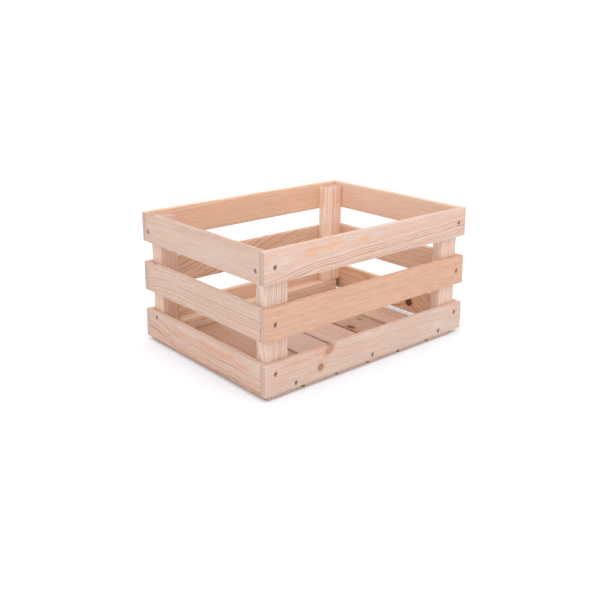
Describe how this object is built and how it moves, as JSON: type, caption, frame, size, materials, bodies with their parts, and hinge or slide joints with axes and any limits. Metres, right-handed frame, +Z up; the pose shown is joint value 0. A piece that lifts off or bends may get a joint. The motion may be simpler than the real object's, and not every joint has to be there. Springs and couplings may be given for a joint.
{
  "type": "wooden apple crate",
  "caption": "Open-topped slatted pine crate for picking and storing apples, with corner posts, spaced wall slats, floor battens and a boarded floor.",
  "frame": {"origin": "centre of the footprint, on the underside of the floor boards", "axes": "+X along the long walls, +Y from the front long wall to the rear long wall, +Z up to the open rim"},
  "size_m": [0.442, 0.329, 0.2264],
  "materials": {
    "pine": "raw sawn and planed softwood, no coating",
    "nail_steel": "dull dark bright-drawn wire, sunk heads"
  },
  "bodies": {
    "root": {"front_slat_bottom": "pine", "front_slat_middle": "pine", "front_slat_top": "pine", "rear_slat_bottom": "pine", "rear_slat_middle": "pine", "rear_slat_top": "pine", "left_slat_bottom": "pine", "left_slat_middle": "pine", "left_slat_top": "pine", "right_slat_bottom": "pine", "right_slat_middle": "pine", "right_slat_top": "pine", "post_front_left": "pine", "post_front_right": "pine", "post_rear_left": "pine", "post_rear_right": "pine", "batten_front": "pine", "batten_rear": "pine", "floor_board_1": "pine", "floor_board_2": "pine", "floor_board_3": "pine", "floor_board_4": "pine", "floor_board_5": "pine", "floor_board_6": "pine", "nails_front_wall": "nail_steel", "nails_rear_wall": "nail_steel", "nails_left_end": "nail_steel", "nails_right_end": "nail_steel", "nails_floor_front": "nail_steel", "nails_floor_rear": "nail_steel"}
  },
  "joints": []
}
